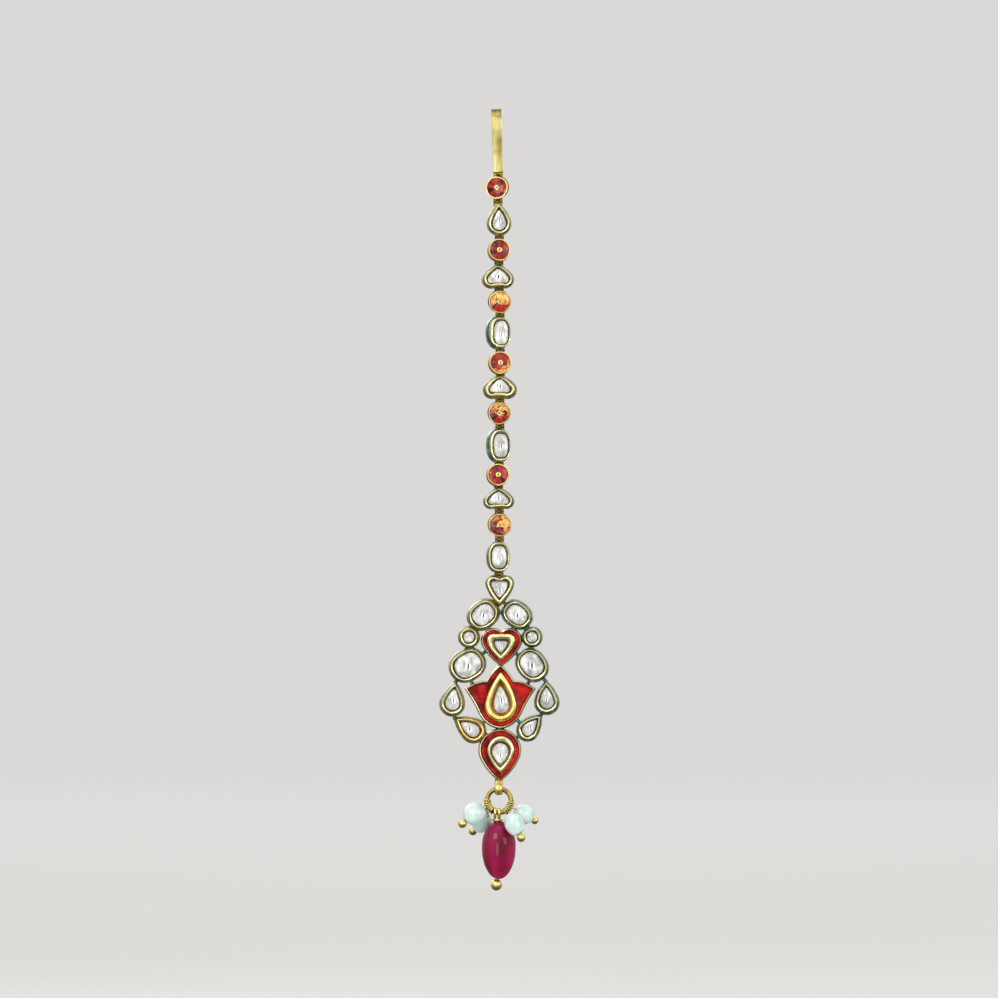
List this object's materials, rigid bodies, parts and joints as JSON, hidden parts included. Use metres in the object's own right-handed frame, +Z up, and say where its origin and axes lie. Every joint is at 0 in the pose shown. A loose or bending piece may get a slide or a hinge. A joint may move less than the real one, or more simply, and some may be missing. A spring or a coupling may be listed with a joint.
{
  "type": "maang tikka",
  "caption": "Forehead jewel: a hair hook, a hinged line of stone-set links, an enamelled pendant of flat-cut stones, and a ruby bead with pearls on a ring.",
  "frame": {"origin": "inside of the hair hook's bend, where the jewel hangs on the hair", "axes": "+X to the viewer's right, +Z up along the jewel, the set face looks along -Y"},
  "size_m": [0.023, 0.0102, 0.1485],
  "materials": {
    "gold": "soft hand-worked high-carat gold, satin with small hammered unevenness",
    "enamelled_gold": "pale antique gold rims over box walls enamelled dark green",
    "red_stone": "foil-backed transparent red stone",
    "polki": "foil-backed flat-cut uncut diamond, near white",
    "red_enamel": "translucent red enamel, glossy",
    "ruby": "polished translucent ruby",
    "pearl": "lustrous baroque pearl, cool white"
  },
  "bodies": {
    "line": {"hair_hook": "gold", "round_setting_1": "gold", "round_stone_1": "red_stone", "polki_setting_1": "enamelled_gold", "polki_stone_1": "polki", "round_setting_2": "gold", "round_stone_2": "red_stone", "polki_setting_2": "enamelled_gold", "polki_stone_2": "polki", "round_setting_3": "gold", "round_stone_3": "red_stone", "polki_setting_3": "enamelled_gold", "polki_stone_3": "polki", "round_setting_4": "gold", "round_stone_4": "red_stone", "polki_setting_4": "enamelled_gold", "polki_stone_4": "polki", "round_setting_5": "gold", "round_stone_5": "red_stone", "polki_setting_5": "enamelled_gold", "polki_stone_5": "polki", "round_setting_6": "gold", "round_stone_6": "red_stone", "polki_setting_6": "enamelled_gold", "polki_stone_6": "polki", "round_setting_7": "gold", "round_stone_7": "red_stone", "polki_setting_7": "enamelled_gold", "polki_stone_7": "polki"},
    "pendant": {"pendant_frame": "enamelled_gold", "heart_enamel": "red_enamel", "tulip_enamel": "red_enamel", "pear_enamel": "red_enamel", "top_heart_stone": "polki", "upper_oval_left_stone": "polki", "upper_oval_right_stone": "polki", "small_round_left_stone": "polki", "small_round_right_stone": "polki", "large_oval_left_stone": "polki", "large_oval_right_stone": "polki", "outer_pear_left_stone": "polki", "outer_pear_right_stone": "polki", "lower_pear_left_stone": "polki", "lower_pear_right_stone": "polki", "heart_centre_stone": "polki", "tulip_centre_stone": "polki", "pear_centre_stone": "polki"},
    "bead_drop": {"drop_ring": "gold", "ruby_bead": "ruby", "ruby_pin": "gold", "pearl_1": "pearl", "pearl_pin_1": "gold", "pearl_2": "pearl", "pearl_pin_2": "gold", "pearl_3": "pearl", "pearl_pin_3": "gold", "pearl_4": "pearl", "pearl_pin_4": "gold"}
  },
  "joints": [
    {"name": "pendant_swing", "type": "hinge", "parent": "line", "child": "pendant", "pos_m": [0, 0.00115, -0.08789], "axis": [1, 0, 0], "range_deg": [-10, 45]},
    {"name": "drop_swing", "type": "hinge", "parent": "pendant", "child": "bead_drop", "pos_m": [0, -0.00045, -0.1287], "axis": [1, 0, 0], "range_deg": [-40, 40]}
  ]
}
